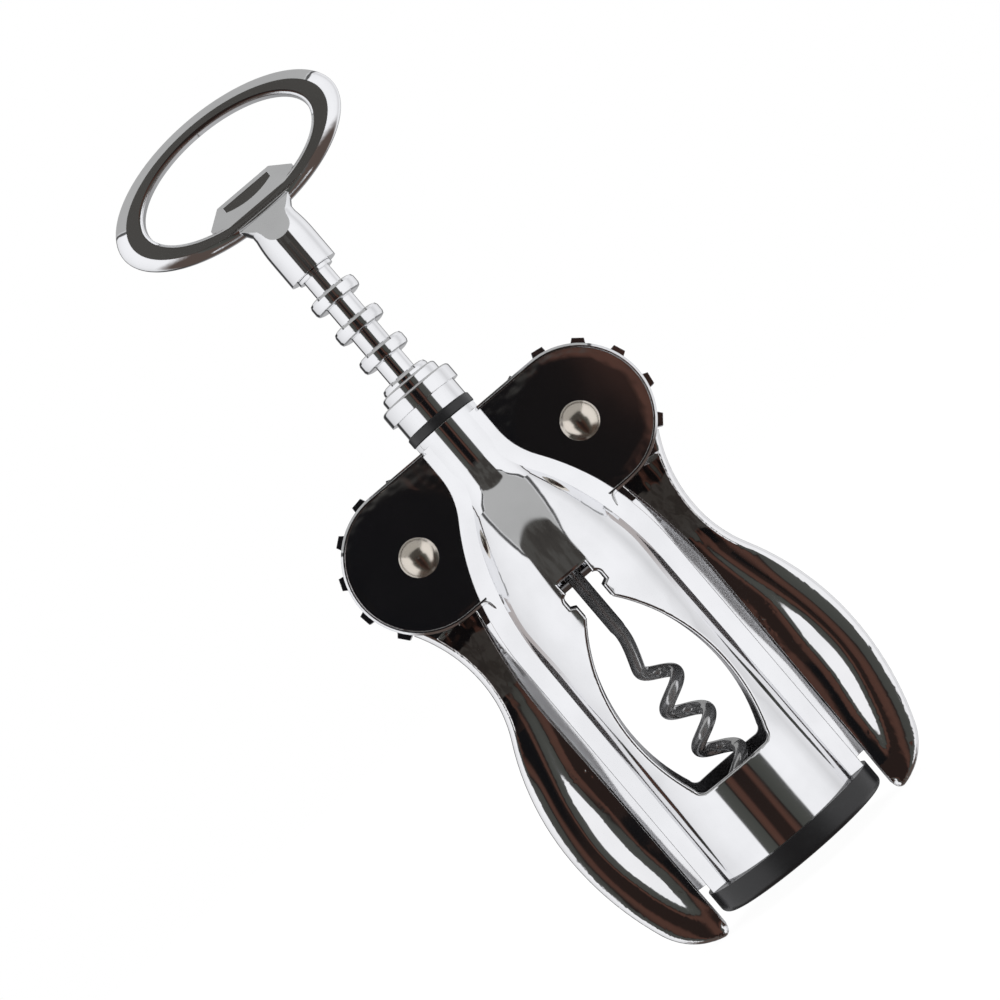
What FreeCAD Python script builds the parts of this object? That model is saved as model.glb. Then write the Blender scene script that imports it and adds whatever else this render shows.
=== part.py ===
"""Wing corkscrew, in millimetres.

+Z runs along the spindle towards the handle and +Y to the back. The origin is the centre of the base
ring's underside, where the bottle's mouth enters. At rest the wings hang down and the spindle is up.
"""
import FreeCAD, Part
import math
import os
import Sketcher
from FreeCAD import Placement, Rotation, Vector

OUT = "parts"

# Driving dimensions: name and millimetres, unless the name says otherwise.
DIMENSIONS = [
    # Base ring and the bottle it sits on
    ("ring_height", 5.3),
    ("ring_half_width", 20.4),
    ("ring_half_depth", 18.3),
    ("ring_round", 1.5),
    ("bottle_radius", 14.85),
    ("bottle_depth", 8.0),
    ("throat_radius", 12.4),
    ("spigot_height", 6.0),
    ("seat_gap", 0.05),
    # Bell, from the base ring to the top of the neck
    ("bell_foot_radius", 17.6),
    ("bell_radius", 17.2),
    ("bell_wall", 1.5),
    ("bell_flare_z", 62.0),
    ("neck_flare_z", 101.0),
    ("neck_hollow", 20.0),
    ("neck_radius", 8.0),
    ("neck_top_z", 110.6),
    ("roof_z", 70.6),
    ("roof_round", 5.0),
    # Flanks: the sloped bands down both sides of the bell
    ("flank_half_width", 19.5),
    ("flank_flare_z", 64.0),
    ("flank_neck_half_width", 7.45),
    ("flank_neck_z", 103.0),
    ("flank_hollow", 16.0),
    ("flank_rise", 3.7),
    ("flank_slope_width", 6.5),
    ("flank_neck_half_depth", 6.9),
    ("flank_side_flare_z", 86.0),
    # Ears: the cheeks that carry the wings
    ("pivot_reach", 21.0),
    ("pivot_z", 93.6),
    ("ear_radius", 15.45),
    ("ear_half_depth", 5.6),
    ("ear_recess", 0.8),
    ("ear_rim", 0.8),
    ("ear_bevel", 0.45),
    ("ear_rim_foot_out", 5.5),
    ("cheek_gap", 0.2),
    # Rails, which the wings close over
    ("rail_half_depth", 2.5),
    ("rail_overlap", 0.7),
    ("rail_slope_inset", 1.05),
    ("rail_slope_width", 2.6),
    ("rail_rise", 1.4),
    ("rail_head_drop", 3.5),
    ("rail_gap", 0.7),
    # Window in the bell, shaped like a bottle
    ("window_sill_z", 22.2),
    ("window_corner", 1.6),
    ("window_side_radius", 40.0),
    ("window_half_width", 11.75),
    ("window_belly_z", 38.5),
    ("window_neck_half_width", 3.35),
    ("window_neck_z", 65.9),
    ("window_lip_half_width", 4.5),
    ("window_lip_z", 69.2),
    ("window_lip_round", 1.3),
    ("window_mouth_half_width", 3.5),
    ("window_mouth_z", 71.7),
    ("window_round", 0.5),
    # Cap and washer on the neck
    ("washer_height", 2.3),
    ("washer_radius", 7.75),
    ("cap_band_radius", 7.4),
    ("cap_band_height", 3.7),
    ("cap_flange_radius", 8.5),
    ("cap_flange_height", 3.4),
    ("cap_step_radius", 6.7),
    ("cap_step_height", 2.2),
    ("cap_round", 0.7),
    ("cap_spigot_radius", 6.6),
    ("cap_spigot_length", 6.5),
    ("running_gap", 0.05),
    # Rack of turned rings
    ("rack_pitch", 7.5),
    ("rack_ring_radius", 5.5),
    ("rack_ring_width", 3.1),
    ("rack_ring_round", 0.8),
    ("rack_core_radius", 3.15),
    ("rack_top_ring_z", 144.6),
    ("rack_rings", 9),
    ("rack_collar_radius", 4.1),
    ("rack_collar_height", 0.8),
    ("bore_gap", 0.25),
    # Wings: drops are below the pivot's axis, and what is out is measured outwards from it
    ("pinion_teeth", 12),
    ("pinion_tip_radius", 16.6),
    ("pinion_root_radius", 13.6),
    ("pinion_half_depth", 3.0),
    ("tooth_tip_width", 2.5),
    ("tooth_root_width", 3.8),
    ("tip_gap", 0.4),
    ("wing_inner_out", 1.25),
    ("wing_inner_lean", 2.85),
    ("wing_inner_bend", 40.0),
    ("wing_inner_top", 15.8),
    ("wing_waist_out", 6.6),
    ("wing_waist_drop", 27.6),
    ("wing_waist_hollow", 26.0),
    ("wing_shoulder_radius", 32.5),
    ("wing_belly_out", 16.0),
    ("wing_belly_drop", 65.6),
    ("wing_tip_drop", 96.9),
    ("wing_tip_run", 4.1),
    ("wing_tip_rise", 8.6),
    ("wing_tip_radius", 13.4),
    ("wing_heel_radius", 1.6),
    ("wing_half_depth", 5.8),
    ("wing_full_drop", 36.0),
    ("wing_relief_hollow", 26.0),
    ("wing_tip_taper", 1.4),
    ("wing_solid_tip", 10.0),
    ("wing_edge_round", 1.4),
    ("scoop_depth", 2.1),
    ("scoop_length", 44.0),
    ("scoop_width", 12.9),
    ("scoop_out", 1.9),
    ("scoop_drop", 66.6),
    ("scoop_lean_degrees", 4.0),
    ("channel_half_depth", 2.8),
    ("channel_depth", 4.0),
    # Pivot rivets
    ("rivet_radius", 2.4),
    ("rivet_head_radius", 4.05),
    ("rivet_head_height", 2.0),
    # Handle
    ("socket_z", 151.2),
    ("socket_radius", 5.55),
    ("handle_neck_radius", 5.1),
    ("handle_neck_z", 163.0),
    ("socket_top_z", 158.0),
    ("handle_centre_z", 177.8),
    ("handle_half_width", 27.6),
    ("handle_half_height", 13.0),
    ("handle_half_depth", 2.5),
    ("handle_side_bevel", 2.9),
    ("handle_top_bevel", 1.7),
    ("opening_half_width", 20.7),
    ("opening_half_height", 9.3),
    ("handle_lip", 0.8),
    ("handle_root_flare", 1.6),
    ("handle_root_height", 2.2),
    ("web_inset", 0.05),
    ("shield_top_z", 167.0),
    ("shield_knee_z", 162.6),
    ("shield_knee_half_depth", 4.1),
    ("shield_foot_z", 159.6),
    ("shield_hollow", 8.3),
    ("lifter_half_width", 6.7),
    ("lifter_foot_half_width", 10.6),
    ("lifter_top_z", 173.3),
    ("lifter_foot_z", 170.4),
    ("lifter_edge_half_depth", 0.5),
    ("lifter_floor_half_depth", 0.8),
    ("lifter_hollow_sag", 1.0),
    # Worm
    ("rod_radius", 1.6),
    ("rod_grip", 9.0),
    ("shoulder_radius", 2.6),
    ("shoulder_height", 1.2),
    ("helix_radius", 3.25),
    ("helix_pitch", 9.8),
    ("helix_bend_z", 56.5),
    ("helix_full_z", 43.0),
    ("helix_right_z", 43.1),
    ("helix_tip_z", 17.6),
    ("helix_lead_degrees", 185.0),
    ("wire_radius", 1.45),
    ("point_length", 6.0),
    ("point_radius", 0.25),
]

doc = FreeCAD.newDocument("wing_corkscrew")
sheet = doc.addObject("Spreadsheet::Sheet", "Dims")
for row, (alias, number) in enumerate(DIMENSIONS, start=1):
    sheet.set(f"A{row}", alias)
    sheet.set(f"B{row}", str(number))
    sheet.setAlias(f"B{row}", alias)
doc.recompute()


class Size:
    """A number worked out from the sheet, kept together with the formula that gives it."""

    def __init__(self, number, formula):
        self.number = number
        self.formula = formula

    def __add__(self, other):
        other = as_size(other)
        return Size(self.number + other.number, f"({self.formula} + {other.formula})")

    def __sub__(self, other):
        other = as_size(other)
        return Size(self.number - other.number, f"({self.formula} - {other.formula})")

    def __mul__(self, other):
        other = as_size(other)
        return Size(self.number * other.number, f"({self.formula} * {other.formula})")

    def __truediv__(self, other):
        other = as_size(other)
        return Size(self.number / other.number, f"({self.formula} / {other.formula})")

    def __radd__(self, other):
        return as_size(other) + self

    def __rsub__(self, other):
        return as_size(other) - self

    def __rmul__(self, other):
        return as_size(other) * self

    def __rtruediv__(self, other):
        return as_size(other) / self

    def __neg__(self):
        return Size(-self.number, f"(-1 * {self.formula})")

    def root(self):
        return Size(math.sqrt(self.number), f"sqrt({self.formula})")


def as_size(value):
    return value if isinstance(value, Size) else Size(float(value), f"({float(value)!r})")


class Dimensions:
    """Reads an alias of the sheet as a Size: d.bell_radius."""

    def __getattr__(self, alias):
        return Size(float(sheet.get(alias)), f"Dims.{alias}")


d = Dimensions()

# ---------------------------------------------------------------------------------------------------
# Sketches and solids
# ---------------------------------------------------------------------------------------------------

PLANES = {
    "XY_Plane": Placement(),
    "XZ_Plane": Placement(Vector(), Rotation(Vector(1, 0, 0), 90)),
    "YZ_Plane": Placement(Vector(), Rotation(Vector(1, 1, 1), 120)),
}


def bind(thing, path, size):
    """Ties a property to the sheet."""
    thing.setExpression(path, as_size(size).formula)


def new_sketch(name, plane, body=None, offset=None):
    """An empty sketch on an origin plane, of its body where it has one; offset is along the normal."""
    if body is None:
        made = doc.addObject("Sketcher::SketchObject", name)
        made.Placement = PLANES[plane]
        return made
    made = body.newObject("Sketcher::SketchObject", name)
    features = body.Origin.OriginFeatures
    made.AttachmentSupport = ([feature for feature in features if feature.Role == plane][0], [""])
    made.MapMode = "FlatFace"
    if offset is not None:
        bind(made, "AttachmentOffset.Base.z", offset)
    return made


def arc_between(start, end, radius, turn):
    """The short arc from start to end; turn is 1 for a left-hand bend and -1 for a right-hand one."""
    chord = end - start
    to_centre = Vector(-chord.y, chord.x, 0).normalize() * turn
    centre = start + chord * 0.5 + to_centre * math.sqrt(max(radius**2 - chord.Length**2 / 4, 0))
    first, last = (start, end) if turn > 0 else (end, start)
    angles = [math.atan2(p.y - centre.y, p.x - centre.x) for p in (first, last)]
    if angles[1] <= angles[0]:
        angles[1] += 2 * math.pi
    return Part.ArcOfCircle(Part.Circle(centre, Vector(0, 0, 1), radius), *angles)


def draw(sketch, corners):
    """A closed outline. A corner is (x, y), or (x, y, radius, turn) where an arc leads to it."""
    count = len(corners)
    spots = [Vector(as_size(c[0]).number, as_size(c[1]).number, 0) for c in corners]
    first = sketch.GeometryCount
    heads = []
    for i, corner in enumerate(corners):
        start, end = spots[i - 1], spots[i]
        if len(corner) == 4:
            sketch.addGeometry(arc_between(start, end, as_size(corner[2]).number, corner[3]))
            heads.append(2 if corner[3] > 0 else 1)
        else:
            sketch.addGeometry(Part.LineSegment(start, end))
            heads.append(2)
    for i, corner in enumerate(corners):
        after = (i + 1) % count
        link = Sketcher.Constraint("Coincident", first + i, heads[i], first + after, 3 - heads[after])
        sketch.addConstraint(link)
        for kind, place, size in (("DistanceX", spots[i].x, corner[0]), ("DistanceY", spots[i].y, corner[1])):
            index = sketch.addConstraint(Sketcher.Constraint(kind, first + i, heads[i], place))
            bind(sketch, f"Constraints[{index}]", size)
        if len(corner) == 4:
            radius = as_size(corner[2])
            index = sketch.addConstraint(Sketcher.Constraint("Radius", first + i, radius.number))
            bind(sketch, f"Constraints[{index}]", radius)
    return sketch


def draw_circle(sketch, x, y, radius):
    """A circle about (x, y)."""
    x, y, radius = as_size(x), as_size(y), as_size(radius)
    spot = Vector(x.number, y.number, 0)
    circle = sketch.addGeometry(Part.Circle(spot, Vector(0, 0, 1), radius.number))
    for kind, place, size in (("DistanceX", spot.x, x), ("DistanceY", spot.y, y)):
        index = sketch.addConstraint(Sketcher.Constraint(kind, circle, 3, place))
        bind(sketch, f"Constraints[{index}]", size)
    index = sketch.addConstraint(Sketcher.Constraint("Radius", circle, radius.number))
    bind(sketch, f"Constraints[{index}]", radius)
    return sketch


def draw_ellipse(sketch, x, y, half_x, half_y):
    """An ellipse about (x, y), longer along x."""
    x, y, half_x, half_y = (as_size(value) for value in (x, y, half_x, half_y))
    spot = Vector(x.number, y.number, 0)
    ellipse = sketch.addGeometry(Part.Ellipse(spot, half_x.number, half_y.number))
    sketch.exposeInternalGeometry(ellipse)
    wide, tall = ellipse + 1, ellipse + 2
    sketch.addConstraint(Sketcher.Constraint("Horizontal", wide))
    for kind, place, size in (("DistanceX", spot.x, x), ("DistanceY", spot.y, y)):
        index = sketch.addConstraint(Sketcher.Constraint(kind, ellipse, 3, place))
        bind(sketch, f"Constraints[{index}]", size)
    for line, half in ((wide, half_x), (tall, half_y)):
        index = sketch.addConstraint(Sketcher.Constraint("Distance", line, 2 * half.number))
        bind(sketch, f"Constraints[{index}]", 2 * half)
    return sketch


def both_sides(corners):
    """An outline's right half, walked upwards, joined to its mirror image."""
    mirrored = []
    for i, corner in enumerate(corners):
        bend = corners[i + 1][2:] if i + 1 < len(corners) else ()
        mirrored.append((-as_size(corner[0]), corner[1]) + tuple(bend))
    return list(corners) + mirrored[::-1]


def mirror_to(side, corners):
    """An outline drawn for +X, as it is for side 1 or mirrored for side -1."""
    return [(side * as_size(c[0]), c[1]) + ((c[2], side * c[3]) if len(c) == 4 else ()) for c in corners]


def extrusion(name, outline, plane, half_depth):
    """A solid of the outline, as deep on either side of its plane."""
    made = doc.addObject("Part::Extrusion", name)
    made.Base = draw(new_sketch(name + "_outline", plane), outline)
    made.DirMode = "Normal"
    made.Solid = True
    made.Symmetric = True
    bind(made, "LengthFwd", 2 * half_depth)
    return made


def revolution(name, outline):
    """A solid of the outline, drawn in the XZ plane, turned about Z."""
    made = doc.addObject("Part::Revolution", name)
    made.Source = draw(new_sketch(name + "_outline", "XZ_Plane"), outline)
    made.Axis = Vector(0, 0, 1)
    made.Angle = 360
    made.Solid = True
    return made


def loft(name, *sections):
    """A solid with straight sides from one sketch to the next."""
    made = doc.addObject("Part::Loft", name)
    made.Sections = list(sections)
    made.Solid = True
    made.Ruled = True
    return made


def boolean(kind, name, *shapes):
    """Part::Cut of two shapes, or Part::MultiFuse or Part::MultiCommon of several."""
    made = doc.addObject(kind, name)
    if kind == "Part::Cut":
        made.Base, made.Tool = shapes
        made.Refine = True
    else:
        made.Shapes = list(shapes)
    return made


def edges_where(shape, test):
    """The numbers of the edges whose every sample point passes the test."""
    found = []
    for number, edge in enumerate(shape.Edges, start=1):
        points = [edge.valueAt(p) for p in samples(edge.FirstParameter, edge.LastParameter)]
        if all(test(point) for point in points):
            found.append(number)
    return found


def samples(low, high, count=5):
    return [low + (high - low) * (i + 0.5) / count for i in range(count)]


def dress(body, kind, name, size, test):
    """A PartDesign fillet or chamfer on the edges of the body's tip that pass the test."""
    doc.recompute()
    tip = body.Tip
    made = body.newObject(kind, name)
    made.Base = (tip, [f"Edge{number}" for number in edges_where(tip.Shape, test)])
    bind(made, "Radius" if kind == "PartDesign::Fillet" else "Size", size)
    return made


def new_body(label, base=None):
    """A body, which may start from a shape that is already made."""
    body = doc.addObject("PartDesign::Body", label)
    if base is not None:
        body.BaseFeature = base
    return body


def feature(body, kind, name, sketch, **settings):
    """A PartDesign feature of a sketch; settings that are Sizes are bound to the sheet."""
    made = body.newObject(kind, name)
    made.Profile = sketch
    for key, value in settings.items():
        if isinstance(value, Size):
            bind(made, key, value)
        else:
            setattr(made, key, value)
    return made


def turned(body, kind, name, outline):
    """A revolution or groove, about Z, of an outline in the body's XZ plane."""
    sketch = draw(new_sketch(name + "_outline", "XZ_Plane", body), outline)
    return feature(body, kind, name, sketch, ReferenceAxis=(sketch, ["V_Axis"]), Angle=360.0)


# ---------------------------------------------------------------------------------------------------
# Forms that several pieces share
# ---------------------------------------------------------------------------------------------------

def s_curve(low_x, low_z, high_x, high_z, hollow):
    """Two tangent arcs from a vertical line up to a narrower one: join point and lower radius.

    hollow is the radius of the upper, concave arc.
    """
    lean = (low_x - high_x) / (high_z - low_z)
    sine = 2 * lean / (1 + lean * lean)
    cosine = (1 - lean * lean) / (1 + lean * lean)
    swell = (high_z - low_z) / sine - hollow
    return low_x - swell * (1 - cosine), low_z + swell * sine, swell


def on_arc(x, z, radius, at_z):
    """Where the arc that leaves the vertical at (x, z), bending inwards, is at a height."""
    rise = at_z - z
    return x - radius + (radius * radius - rise * rise).root()


foot_z = d.ring_height
neck_top = d.neck_top_z
cavity_radius = d.bell_radius - d.bell_wall
rack_bore = d.rack_ring_radius + d.bore_gap
slot_half_depth = d.pinion_half_depth + d.cheek_gap
slot_radius = d.pinion_tip_radius + d.tip_gap
ear_top = d.pivot_z + d.ear_radius
ear_foot = d.pivot_z - d.ear_radius
ear_face = d.ear_half_depth - d.ear_recess
flank_half_depth = ear_face
cap_foot = neck_top + d.washer_height
cap_top = cap_foot + d.cap_band_height + d.cap_flange_height + d.cap_step_height
web_half_depth = d.handle_half_depth - d.web_inset
pinion_pitch_radius = d.rack_pitch * d.pinion_teeth / (2 * math.pi)
wing_inner_high = d.wing_inner_out - d.wing_inner_lean
wing_inner_rise = d.wing_inner_bend - d.wing_inner_top
wing_inner_arc = (wing_inner_rise * wing_inner_rise + d.wing_inner_lean * d.wing_inner_lean) / (
    2 * d.wing_inner_lean)
FAR = 60.0


# ---------------------------------------------------------------------------------------------------
# Body
# ---------------------------------------------------------------------------------------------------

flank_join_x, flank_join_z, flank_swell = s_curve(
    d.flank_half_width, d.flank_flare_z, d.flank_neck_half_width, d.flank_neck_z, d.flank_hollow)
bell_join_r, bell_join_z, bell_swell = s_curve(
    d.bell_radius, d.bell_flare_z, d.neck_radius, d.neck_flare_z, d.neck_hollow)


def flank_outline(low_z, high_z, inset=0.0):
    """The body's front outline, a bottle's, between two heights, or the same drawn further in."""
    wide, narrow = d.flank_half_width - inset, d.flank_neck_half_width - inset
    join_x, join_z, swell = s_curve(wide, d.flank_flare_z, narrow, d.flank_neck_z, d.flank_hollow + inset)
    return both_sides([
        (wide, low_z),
        (wide, d.flank_flare_z),
        (join_x, join_z, swell, 1),
        (narrow, d.flank_neck_z, d.flank_hollow + inset, -1),
        (narrow, high_z),
    ])


def bell():
    """The turned bell, with its neck no wider than the front outline."""
    turning = revolution("bell_turning", [
        (0, foot_z),
        (d.bell_foot_radius, foot_z),
        (d.bell_radius, d.bell_flare_z),
        (bell_join_r, bell_join_z, bell_swell, 1),
        (d.neck_radius, d.neck_flare_z, d.neck_hollow, -1),
        (d.neck_radius, neck_top),
        (0, neck_top),
    ])
    outline = extrusion("bell_limits", flank_outline(foot_z, neck_top), "XZ_Plane", as_size(FAR))
    return boolean("Part::MultiCommon", "bell", turning, outline)


def flanks():
    """Bands down both sides that slope back from the bell to a straight edge."""
    bands = [extrusion("flank_core", flank_outline(foot_z, ear_top), "XZ_Plane", flank_half_depth)]
    for name, way in (("front", -1), ("back", 1)):
        edge = draw(new_sketch(f"flank_{name}_edge", "XZ_Plane"), flank_outline(foot_z, ear_top))
        crest = draw(new_sketch(f"flank_{name}_crest", "XZ_Plane"),
                     flank_outline(foot_z, ear_top, d.flank_slope_width))
        bind(edge, "Placement.Base.y", way * flank_half_depth)
        bind(crest, "Placement.Base.y", way * (flank_half_depth + d.flank_rise))
        bands.append(loft(f"flank_{name}_slope", edge, crest))
    union = boolean("Part::MultiFuse", "flank_bands", *bands)
    deep, shallow = flank_half_depth + d.flank_rise, d.flank_neck_half_depth
    low_z, high_z = d.flank_side_flare_z, d.neck_flare_z
    join_y, join_z, swell = s_curve(deep, low_z, shallow, high_z, d.neck_hollow)
    side = extrusion("flank_side_limits", both_sides([
        (deep, foot_z),
        (deep, low_z),
        (join_y, join_z, swell, 1),
        (shallow, high_z, d.neck_hollow, -1),
        (shallow, ear_top),
    ]), "YZ_Plane", as_size(FAR))
    return boolean("Part::MultiCommon", "flanks", union, side)


def rail_outline(inset=0.0):
    """The rails' front outline, which follows the wings' inner edges, or the same drawn further in."""
    reach = d.pivot_reach + d.wing_inner_out + d.rail_overlap - inset
    return both_sides([
        (reach, d.pivot_z - d.wing_tip_drop + d.wing_solid_tip + d.rail_gap),
        (reach, d.pivot_z - d.wing_inner_bend),
        (reach - d.wing_inner_lean, d.pivot_z - d.wing_inner_top, wing_inner_arc, 1),
    ])


def rails():
    """Rails down the flanks that reach into the wings, each with a slope in front and behind."""
    bars = [extrusion("rail_bars", rail_outline(), "XZ_Plane", d.rail_half_depth)]
    for name, way in (("front", -1), ("back", 1)):
        edge = draw(new_sketch(f"rail_{name}_edge", "XZ_Plane"), rail_outline(d.rail_slope_inset))
        crest = draw(new_sketch(f"rail_{name}_crest", "XZ_Plane"),
                     rail_outline(d.rail_slope_inset + d.rail_slope_width))
        bind(edge, "Placement.Base.y", way * d.rail_half_depth)
        bind(crest, "Placement.Base.y", way * (d.rail_half_depth + d.rail_rise))
        bars.append(loft(f"rail_{name}_slope", edge, crest))
    return boolean("Part::MultiFuse", "rails", *bars)


def rail_heads():
    """Blocks that tie the rails' tops to the cheeks."""
    reach = d.pivot_reach + wing_inner_high
    outline = both_sides([
        (reach + 0.2, ear_foot - d.rail_head_drop),
        (reach - 0.5, ear_foot + d.ear_rim),
    ])
    return extrusion("rail_heads", outline, "XZ_Plane", flank_half_depth)


def ears():
    """The cheeks' plates, which run through the bell from side to side."""
    outline = both_sides([
        (d.pivot_reach, ear_foot),
        (d.pivot_reach + d.ear_radius, d.pivot_z, d.ear_radius, 1),
        (d.pivot_reach, ear_top, d.ear_radius, 1),
    ])
    return extrusion("ears", outline, "XZ_Plane", ear_face)


def ear_rim(name, side):
    """A raised, bevelled rim round an ear's edge, from the neck round to the flank."""
    body = new_body(f"{name}_ear_rim")
    radius = d.ear_radius - d.ear_rim
    foot_x, head_x = d.pivot_reach - d.ear_rim_foot_out, d.flank_neck_half_width - d.ear_rim / 2
    outline = mirror_to(side, [
        (foot_x, ear_foot),
        (d.pivot_reach, ear_foot),
        (d.pivot_reach + d.ear_radius, d.pivot_z, d.ear_radius, 1),
        (d.pivot_reach, ear_top, d.ear_radius, 1),
        (head_x, ear_top),
        (head_x, ear_top - d.ear_rim),
        (d.pivot_reach, ear_top - d.ear_rim),
        (d.pivot_reach + radius, d.pivot_z, radius, -1),
        (d.pivot_reach, ear_foot + d.ear_rim, radius, -1),
        (foot_x, ear_foot + d.ear_rim),
    ])
    sketch = draw(new_sketch(f"{name}_rim_outline", "XZ_Plane", body), outline)
    feature(body, "PartDesign::Pad", f"{name}_rim", sketch, Length=2 * d.ear_half_depth, Midplane=True)
    face, reach, middle = d.ear_half_depth.number, d.pivot_reach.number, d.pivot_z.number
    outside = d.ear_radius.number - 0.01

    def outer_edge(p):
        return abs(p.y) > face - 0.01 and math.hypot(max(side * p.x - reach, 0), p.z - middle) > outside
    dress(body, "PartDesign::Chamfer", f"{name}_rim_bevel", d.ear_bevel, outer_edge)
    return body


def pinion_slot(name, side):
    """Room between two cheeks for a pinion: its tip circle, open outwards."""
    low_z, high_z = d.pivot_z - slot_radius, d.pivot_z + slot_radius
    outline = mirror_to(side, [
        (FAR, low_z),
        (FAR, high_z),
        (d.pivot_reach, high_z),
        (d.pivot_reach - slot_radius, d.pivot_z, slot_radius, 1),
        (d.pivot_reach, low_z, slot_radius, 1),
    ])
    return extrusion(f"{name}_slot", outline, "XZ_Plane", slot_half_depth)


def hollow():
    """Inside of the bell, the bore of the rack and the seat of the cap's spigot."""
    lid = d.roof_round
    shrunk = bell_swell - d.bell_wall
    lid_z = d.roof_z - lid
    lid_r = on_arc(cavity_radius, d.bell_flare_z, shrunk, lid_z)
    seat = d.cap_spigot_radius + d.seat_gap
    return revolution("hollow", [
        (0, foot_z - 1),
        (cavity_radius, foot_z - 1),
        (cavity_radius, d.bell_flare_z),
        (lid_r, lid_z, shrunk, 1),
        (lid_r - lid, d.roof_z, lid, 1),
        (rack_bore, d.roof_z),
        (rack_bore, neck_top - d.cap_spigot_length),
        (seat, neck_top - d.cap_spigot_length),
        (seat, neck_top + 1),
        (0, neck_top + 1),
    ])


def window():
    """The bottle-shaped opening through both walls of the bell."""
    sill = d.window_sill_z
    corner = d.window_corner
    side = d.window_side_radius
    drop = d.window_belly_z - (sill + corner)
    foot_x = d.window_half_width - side + (side * side - drop * drop).root()
    bend = side - (d.window_half_width - d.window_neck_half_width)
    shoulder_z = d.window_belly_z + (side * side - bend * bend).root()
    lip = d.window_lip_round
    step = (d.window_lip_half_width - d.window_neck_half_width) / 2
    outline = both_sides([
        (foot_x - corner, sill),
        (foot_x, sill + corner, corner * 1.1, 1),
        (d.window_neck_half_width, shoulder_z, side, 1),
        (d.window_neck_half_width, d.window_neck_z),
        (d.window_lip_half_width, d.window_neck_z + step),
        (d.window_lip_half_width, d.window_lip_z - lip),
        (d.window_lip_half_width - lip, d.window_lip_z, lip, 1),
    ])
    return extrusion("window", outline, "XZ_Plane", as_size(FAR))


def window_mouth():
    """The front window's mouth, from the wall in to the bore."""
    outline = both_sides([
        (d.window_mouth_half_width - 0.2, d.window_lip_z - d.window_lip_round),
        (d.window_mouth_half_width, d.window_mouth_z),
    ])
    mouth = extrusion("window_mouth", outline, "XZ_Plane", as_size(FAR / 2))
    mouth.Symmetric = False
    return mouth


def rivet_hole(name, side):
    hole = doc.addObject("Part::Cylinder", f"{name}_rivet_hole")
    bind(hole, "Radius", d.rivet_radius + d.seat_gap)
    bind(hole, "Height", as_size(2 * FAR))
    hole.Placement = Placement(Vector(0, FAR, 0), Rotation(Vector(1, 0, 0), 90))
    bind(hole, "Placement.Base.x", side * d.pivot_reach)
    bind(hole, "Placement.Base.z", d.pivot_z)
    return hole


def open_bell(opening):
    """The bell with the window cut through both walls and its outer rims rounded."""
    walls = boolean("Part::Cut", "bell_walls", bell(), opening)
    body = new_body("open_bell", walls)
    wall_middle = (d.bell_radius - d.bell_wall).number
    dress(body, "PartDesign::Fillet", "window_rims", d.window_round,
          lambda p: math.hypot(p.x, p.y) > wall_middle and p.z > d.window_sill_z.number - 1)
    return body


def bell_body():
    opening = boolean("Part::MultiFuse", "opening", window(), window_mouth())
    sides = boolean("Part::Cut", "open_flanks", flanks(), opening)
    forms = [open_bell(opening), sides, rails(), rail_heads(), ears()]
    cutters = [hollow()]
    for name, side in (("left", -1), ("right", 1)):
        forms.append(ear_rim(name, side))
        cutters += [pinion_slot(name, side), rivet_hole(name, side)]
    solid = boolean("Part::MultiFuse", "body_solid", *forms)
    room = boolean("Part::MultiFuse", "body_room", *cutters)
    body = boolean("Part::Cut", "body_cut", solid, room)
    body.Label = "bell_body"


# ---------------------------------------------------------------------------------------------------
# Rings, cap and rivets
# ---------------------------------------------------------------------------------------------------

def base_ring():
    """Oval ring under the bell. Its spigot fits inside the bell, and its bore ends at a step for the rim."""
    body = new_body("base_ring")
    oval = draw_ellipse(new_sketch("base_oval", "XY_Plane", body), 0, 0, d.ring_half_width, d.ring_half_depth)
    feature(body, "PartDesign::Pad", "base_disc", oval, Length=d.ring_height)
    foot = d.ring_height.number / 2
    dress(body, "PartDesign::Fillet", "base_round", d.ring_round, lambda p: p.z < foot)
    spigot = draw_circle(new_sketch("spigot_circle", "XY_Plane", body), 0, 0, cavity_radius - d.seat_gap)
    feature(body, "PartDesign::Pad", "spigot", spigot, Length=d.ring_height + d.spigot_height)
    bore = draw_circle(new_sketch("bottle_circle", "XY_Plane", body), 0, 0, d.bottle_radius)
    feature(body, "PartDesign::Pocket", "bottle_bore", bore, Length=d.bottle_depth, Reversed=True)
    throat = draw_circle(new_sketch("throat_circle", "XY_Plane", body), 0, 0, d.throat_radius)
    feature(body, "PartDesign::Pocket", "throat", throat, Type="ThroughAll", Midplane=True)


def neck_washer():
    body = new_body("neck_washer")
    inner = d.cap_spigot_radius + d.seat_gap
    edge = d.washer_height * 0.12
    turned(body, "PartDesign::Revolution", "washer", [
        (inner, neck_top),
        (d.washer_radius - edge, neck_top),
        (d.washer_radius, neck_top + edge),
        (d.washer_radius, cap_foot - edge),
        (d.washer_radius - edge, cap_foot),
        (inner, cap_foot),
    ])


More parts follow.
